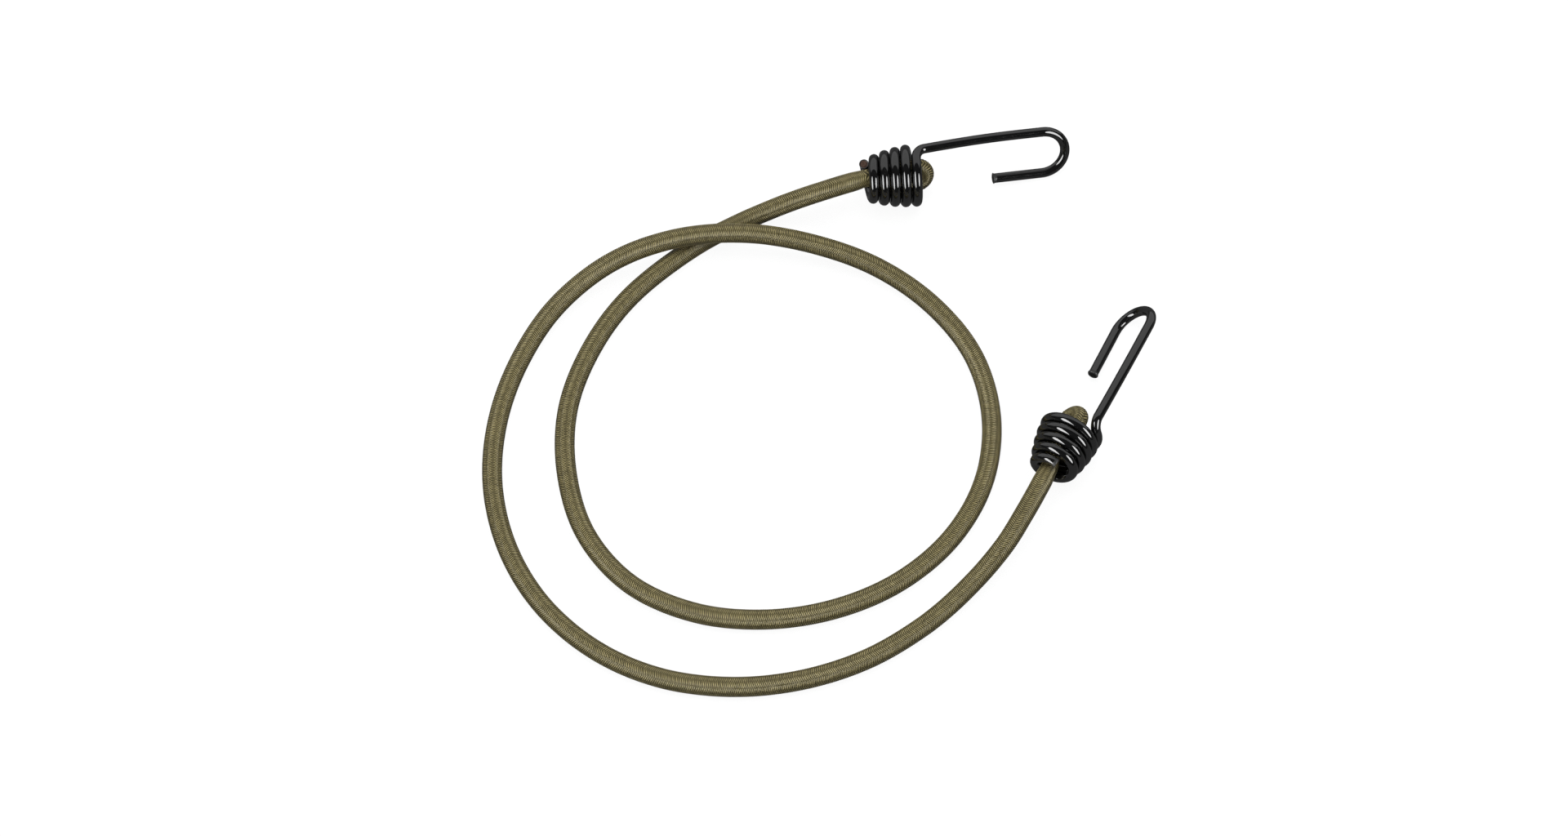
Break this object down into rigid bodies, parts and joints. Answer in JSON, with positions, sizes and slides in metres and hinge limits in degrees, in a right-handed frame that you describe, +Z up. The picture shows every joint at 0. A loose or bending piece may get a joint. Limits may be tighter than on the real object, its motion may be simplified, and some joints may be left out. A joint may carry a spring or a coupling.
{
  "type": "bungee cord",
  "caption": "Braided elastic cord lying in loose loops, with a coiled, plastic-coated steel wire hook gripping each folded end.",
  "frame": {"origin": "on the table, under the middle of the outline that the lying cord and its hooks cover", "axes": "+Z up from the table, +Y away from the viewer of the picture, +X to the viewer's right"},
  "size_m": [0.2661, 0.2408, 0.0256],
  "materials": {
    "braided_sleeve": "braided olive polyester",
    "rubber_core": "matt latex",
    "black_coating": "glossy black vinyl",
    "hook_steel": "cut steel, slightly brown"
  },
  "bodies": {
    "cord": {"loop_sleeve": "braided_sleeve", "loop_core": "rubber_core", "neck_a_sleeve": "braided_sleeve", "neck_a_core": "rubber_core", "lead_sleeve": "braided_sleeve", "lead_core": "rubber_core"},
    "end_a": {"bight_a_sleeve": "braided_sleeve", "bight_a_core": "rubber_core"},
    "hook_a": {"hook_a_wire": "hook_steel", "hook_a_coating": "black_coating"},
    "drawn_end": {"neck_b_sleeve": "braided_sleeve", "neck_b_core": "rubber_core"},
    "end_b": {"bight_b_sleeve": "braided_sleeve", "bight_b_core": "rubber_core"},
    "hook_b": {"hook_b_wire": "hook_steel", "hook_b_coating": "black_coating"}
  },
  "joints": [
    {"name": "hook_a_lift", "type": "hinge", "parent": "cord", "child": "end_a", "pos_m": [-0.0086, 0.0902, 0.01345], "axis": [0.1805, -0.9836, 0], "range_deg": [0, 75], "deforming": ["neck_a_sleeve", "neck_a_core"]},
    {"name": "hook_a_turn", "type": "hinge", "parent": "end_a", "child": "hook_a", "pos_m": [0.0184, 0.0977, 0.01478], "axis": [0.9778, 0.1795, -0.108], "range_deg": [-180, 180]},
    {"name": "cord_stretch", "type": "slide", "parent": "cord", "child": "drawn_end", "axis": [0.691, 0.7228, 0], "range_m": [0, 0.1], "stiffness_N_per_m": 300, "deforming": ["lead_sleeve", "lead_core"]},
    {"name": "hook_b_lift", "type": "hinge", "parent": "drawn_end", "child": "end_b", "pos_m": [0.07538, -0.05426, 0.01357], "axis": [0.9003, -0.4352, 0], "range_deg": [0, 75], "deforming": ["neck_b_sleeve", "neck_b_core"]},
    {"name": "hook_b_turn", "type": "hinge", "parent": "end_b", "child": "hook_b", "pos_m": [0.0898, -0.0301, 0.01532], "axis": [0.4318, 0.8932, -0.1253], "range_deg": [-180, 180]}
  ]
}
